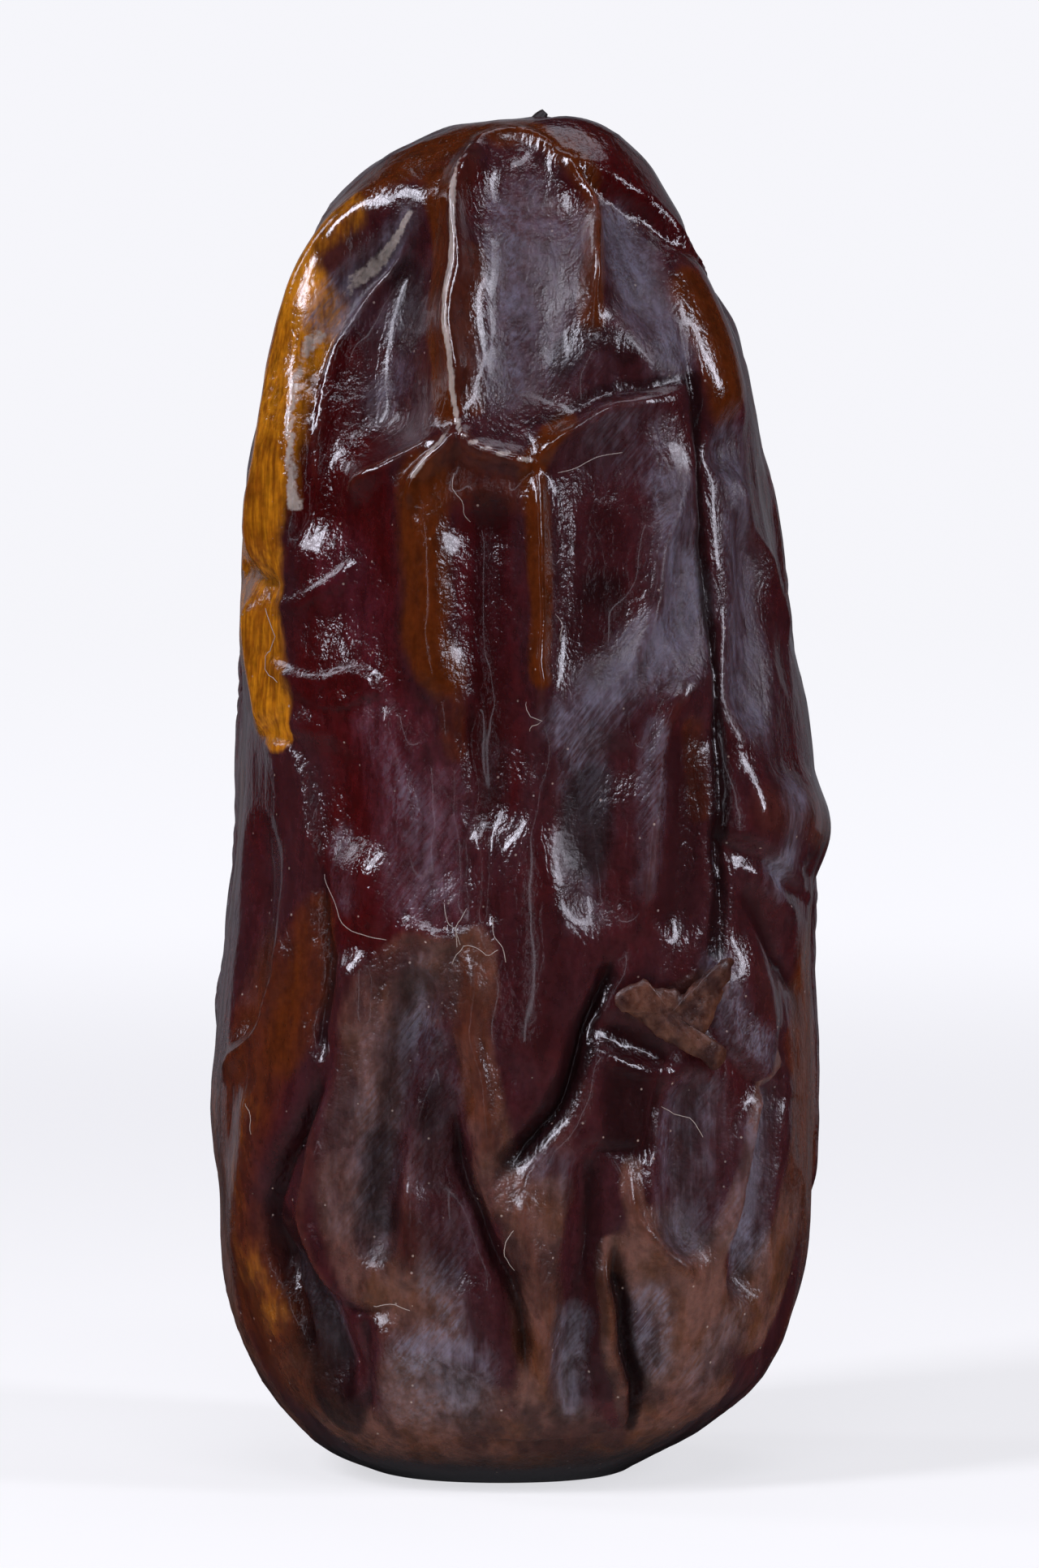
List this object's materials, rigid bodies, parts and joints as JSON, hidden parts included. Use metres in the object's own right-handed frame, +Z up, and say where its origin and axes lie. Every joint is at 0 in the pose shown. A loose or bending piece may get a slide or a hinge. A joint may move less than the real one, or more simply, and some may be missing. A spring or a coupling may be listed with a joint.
{
  "type": "medjool date",
  "caption": "Dried date standing on its blunt stem end, with raised skin ridges, sunken panels and sharp folds.",
  "frame": {"origin": "middle of the footprint, at the height of the flat spot that the date stands on", "axes": "+Z up along the fruit from the stem end to the tip, -Y towards the side with the tall window of ridges"},
  "size_m": [0.0254, 0.0245, 0.0556],
  "materials": {
    "date_skin": "thin wrinkled fruit skin, glossy dark brown and wine red with amber ridges and a dull grey bloom in places"
  },
  "bodies": {
    "root": {"date": "date_skin"}
  },
  "joints": []
}
